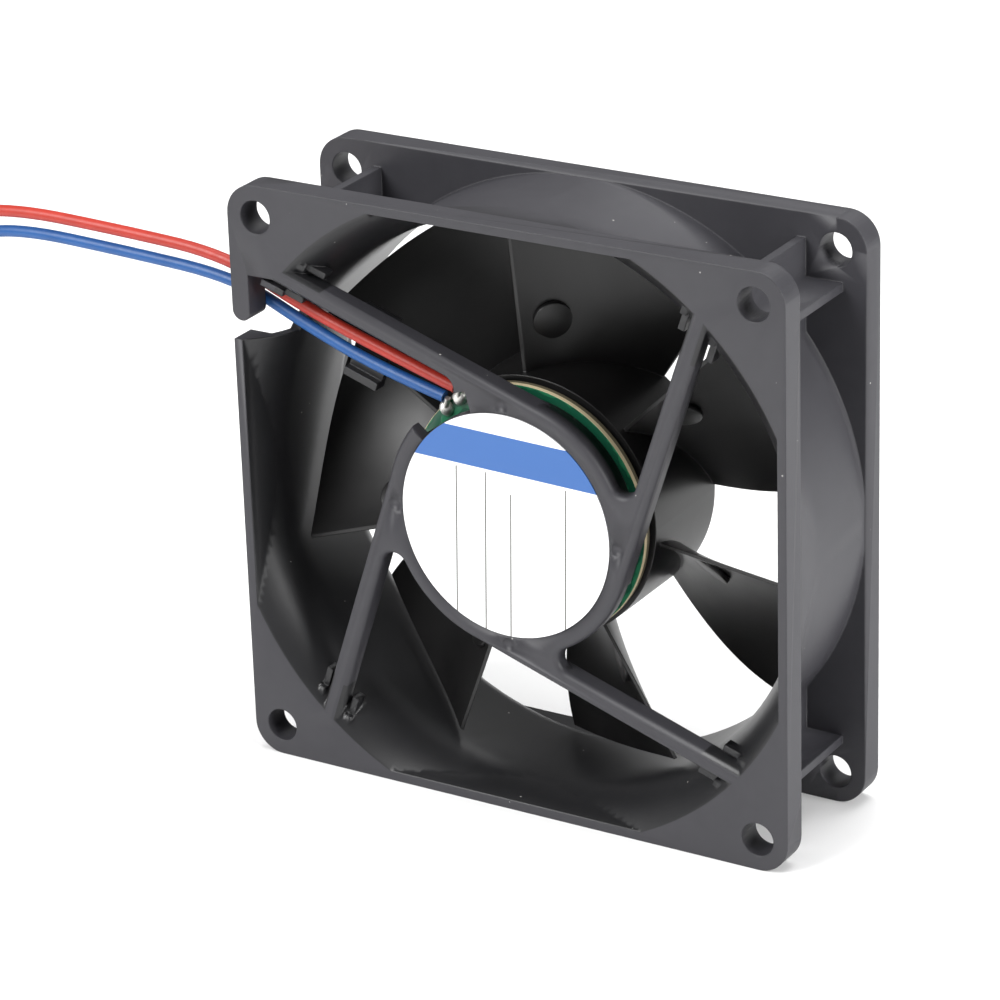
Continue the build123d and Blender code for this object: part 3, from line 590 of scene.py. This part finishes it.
# %% Label finish
LABEL_TILT = math.radians(-1.7)
BAND_FROM, BAND_TO = 7.3, 12.3
RULES = ((-7.1, 6.9), (-2.8, 6.9), (0.9, 4.6), (8.9, 6.9))
RULE_HALF = 0.1
label_film = Finish("printed_film", IOR=1.46)
x, y, z = label_film.place()
across = x * math.cos(LABEL_TILT) + z * math.sin(LABEL_TILT)
up = z * math.cos(LABEL_TILT) - x * math.sin(LABEL_TILT)
band = (up > BAND_FROM) * (up < BAND_TO)
rules = 0
for place, top in RULES:
    rules = (abs(across - place) < RULE_HALF) * (up < top) + rules
paper = label_film.noise(0.4, 3.0)
tone = label_film.mix(paper, (0.84, 0.85, 0.86), (0.90, 0.90, 0.90))
tone = label_film.mix(band, tone, (0.040, 0.125, 0.36))
tone = label_film.mix(rules, tone, (0.10, 0.095, 0.085))
label_film.wear(tone, 0.32 + paper * 0.1 + band * 0.05, paper, depth=0.01)
coat(label_film, "label")

# %% [markdown]
# ## Circuit board
# A ring of green board shows behind the motor base. Its cut edge is bare laminate, rough from the saw and
# cream-coloured towards us; the dark brown behind is painted shade. Copper tracks under the green mask are a
# little lighter and stand up slightly. Real tracks could be drawn one by one, but at this size rings that a
# noise bends out of shape read as the same thing.

# %% Board finish
BOARD_EDGE = (17.12, 17.17)
CREAM_REAR = -6.6
board_skin = Finish("circuit_board", IOR=1.55)
x, y, z = board_skin.place()
radius = board_skin.maths("SQRT", x * x + z * z)
edge = board_skin.ramp(radius, *BOARD_EDGE)
wander = board_skin.noise(0.35, 2.0)
tracks = board_skin.ramp(board_skin.maths("SINE", radius * 3.1 + wander * 9.0), 0.1, 0.35)
tone = board_skin.mix(tracks, (0.008, 0.085, 0.045), (0.018, 0.16, 0.075))
# The whole cut edge first gets a dark brown, which is painted shade; its front part then turns cream.
tone = board_skin.mix(edge, tone, (0.10, 0.085, 0.05))
tone = board_skin.mix(edge * (y < CREAM_REAR), tone, (0.62, 0.52, 0.33))
board_skin.wear(tone, 0.3 + edge * 0.4, tracks * (1 - edge), depth=0.03)
coat(board_skin, "circuit_board")

# %% [markdown]
# ## Wire insulation
# The insulation is soft coloured plastic with a low sheen. Its colour shifts slightly along the wire, and
# shallow scuffs break up the highlight. One recipe serves both wires, because only their colour differs.


# %% Insulation finishes
def insulation(name, dark, light):
    skin = Finish(name, IOR=1.5)
    skin.place()
    patches = skin.noise(0.25, 3.0)
    scuffs = skin.noise(1.6, 3.0, 0.6)
    skin.wear(skin.mix(patches, dark, light), 0.34 + scuffs * 0.2, scuffs, depth=0.03)
    return skin


coat(insulation("red_insulation", (0.30, 0.018, 0.010), (0.46, 0.035, 0.020)), "red_wire")
coat(insulation("blue_insulation", (0.006, 0.055, 0.20), (0.012, 0.10, 0.32)), "blue_wire")


# %% [markdown]
# ## Metals and small parts
# Most of the motor's inner pieces are hidden, but they keep honest finishes: tin, brass, steel, nylon,
# ferrite and enamelled copper. A finish for each by hand would repeat the same graph many times. Two
# recipes, one for metals and one for plastics, give each piece a little variation in tone and gloss, at the
# scale of its process.


# %% Metals
def metal(name, dark, light, roughness, grain=3.0, depth=0.01):
    skin = Finish(name, Metallic=1.0)
    skin.place()
    tarnish = skin.noise(grain, 3.0)
    skin.wear(skin.mix(tarnish, dark, light), roughness + tarnish * 0.15, tarnish, depth)
    return skin


coat(metal("tin", (0.80, 0.79, 0.75), (0.95, 0.94, 0.90), 0.42),
     "solder_mounds", "lead_strands", "chip_legs", "winding_pins")
coat(metal("turned_brass", (0.50, 0.36, 0.14), (0.72, 0.56, 0.26), 0.28), "bearing_tube", "shaft_bush")
coat(metal("sintered_bronze", (0.30, 0.20, 0.10), (0.48, 0.34, 0.18), 0.5, 8.0, 0.03), "sleeve_bearing")
coat(metal("ground_steel", (0.42, 0.42, 0.43), (0.62, 0.62, 0.62), 0.18, 6.0), "shaft")
coat(metal("plated_steel", (0.30, 0.30, 0.31), (0.46, 0.46, 0.46), 0.32), "rotor_yoke")
coat(metal("core_steel", (0.16, 0.16, 0.17), (0.30, 0.30, 0.30), 0.45, 5.0), "stator_core")
coat(metal("can_aluminium", (0.60, 0.60, 0.61), (0.76, 0.76, 0.76), 0.3), "capacitor")
coat(metal("enamelled_copper", (0.40, 0.13, 0.04), (0.62, 0.25, 0.09), 0.3, 2.0, 0.05), "stator_coils")


# %% Plastics and ceramics
def plastic(name, dark, light, roughness, grain=1.5, depth=0.01):
    skin = Finish(name, IOR=1.5)
    skin.place()
    mottle = skin.noise(grain, 3.0)
    skin.wear(skin.mix(mottle, dark, light), roughness + mottle * 0.1, mottle, depth, edge=0.1)
    return skin


coat(plastic("ferrite", (0.025, 0.025, 0.028), (0.05, 0.05, 0.055), 0.55, 3.0, 0.02), "magnet_ring")
coat(plastic("nylon", (0.60, 0.57, 0.48), (0.72, 0.70, 0.62), 0.45), "insulator_front", "insulator_rear")
coat(plastic("wear_polymer", (0.50, 0.45, 0.34), (0.64, 0.58, 0.46), 0.4),
     "thrust_pad", "oil_washer", "retaining_ring", "thrust_washer")
coat(plastic("chip_epoxy", (0.015, 0.015, 0.016), (0.03, 0.03, 0.032), 0.5),
     "hall_sensor", "driver_chip", "diode")
coat(plastic("resistor_glaze", (0.02, 0.02, 0.022), (0.05, 0.05, 0.055), 0.25), "chip_resistors")
